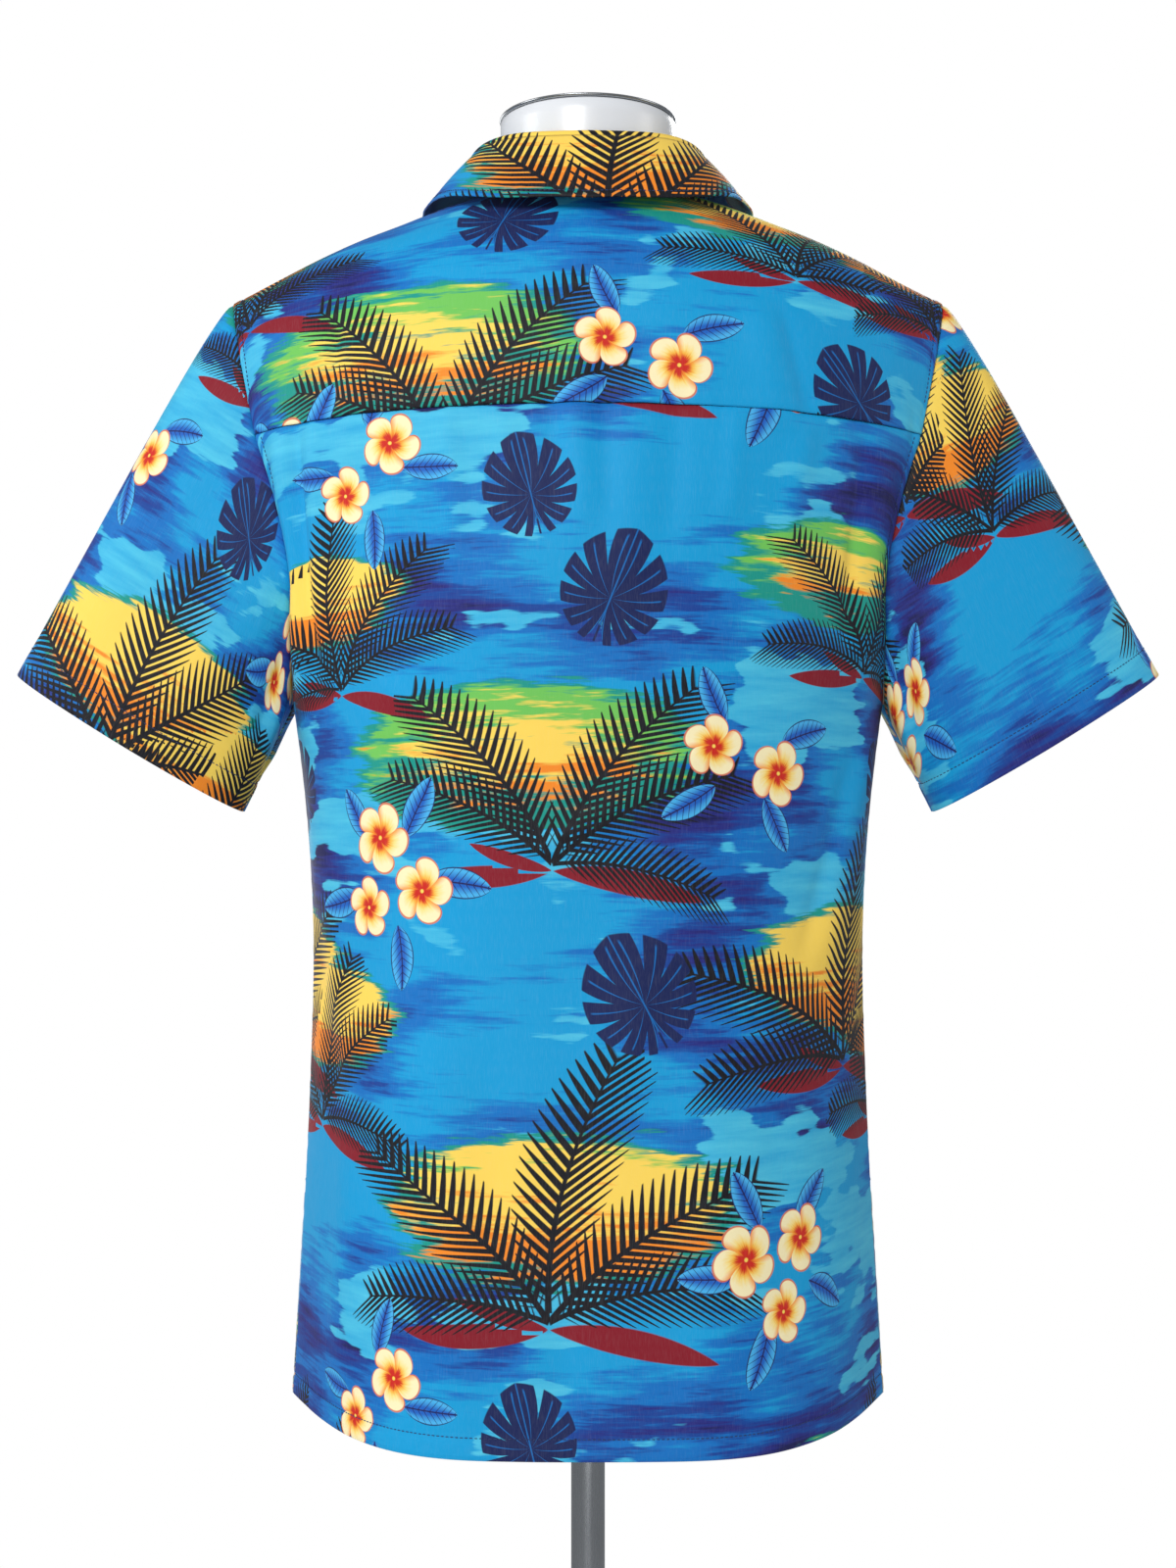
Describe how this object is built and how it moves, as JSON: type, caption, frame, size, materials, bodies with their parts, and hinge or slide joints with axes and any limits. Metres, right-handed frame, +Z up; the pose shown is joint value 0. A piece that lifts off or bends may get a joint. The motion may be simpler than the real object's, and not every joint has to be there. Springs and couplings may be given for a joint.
{
  "type": "hawaiian shirt on a limbless dress form",
  "caption": "Short-sleeved printed camp shirt with turned-out lapels, worn by a smooth limbless dress form on a pole and a round base.",
  "frame": {"origin": "centre of the base plate's underside, where the dress form stands on the floor", "axes": "+Z up along the pole, -Y towards the shirt's buttoned front, +X towards the wearer's left sleeve"},
  "size_m": [0.742, 0.376, 1.4995],
  "materials": {
    "printed_cloth": "cotton poplin with a soft sheen, printed with flowers and leaves on a streaked blue ground",
    "button": "pearly resin",
    "form_white": "satin white lacquer",
    "steel": "brushed"
  },
  "bodies": {
    "root": {"back": "printed_cloth", "yoke": "printed_cloth", "front_left": "printed_cloth", "front_right": "printed_cloth", "sleeve_left": "printed_cloth", "sleeve_right": "printed_cloth", "collar": "printed_cloth", "facing_left": "printed_cloth", "facing_right": "printed_cloth", "button_1": "button", "button_2": "button", "button_3": "button", "button_4": "button", "button_5": "button", "form_torso": "form_white", "form_neck_plate": "steel", "stand_pole": "steel", "stand_socket": "steel", "stand_base": "steel"}
  },
  "joints": []
}
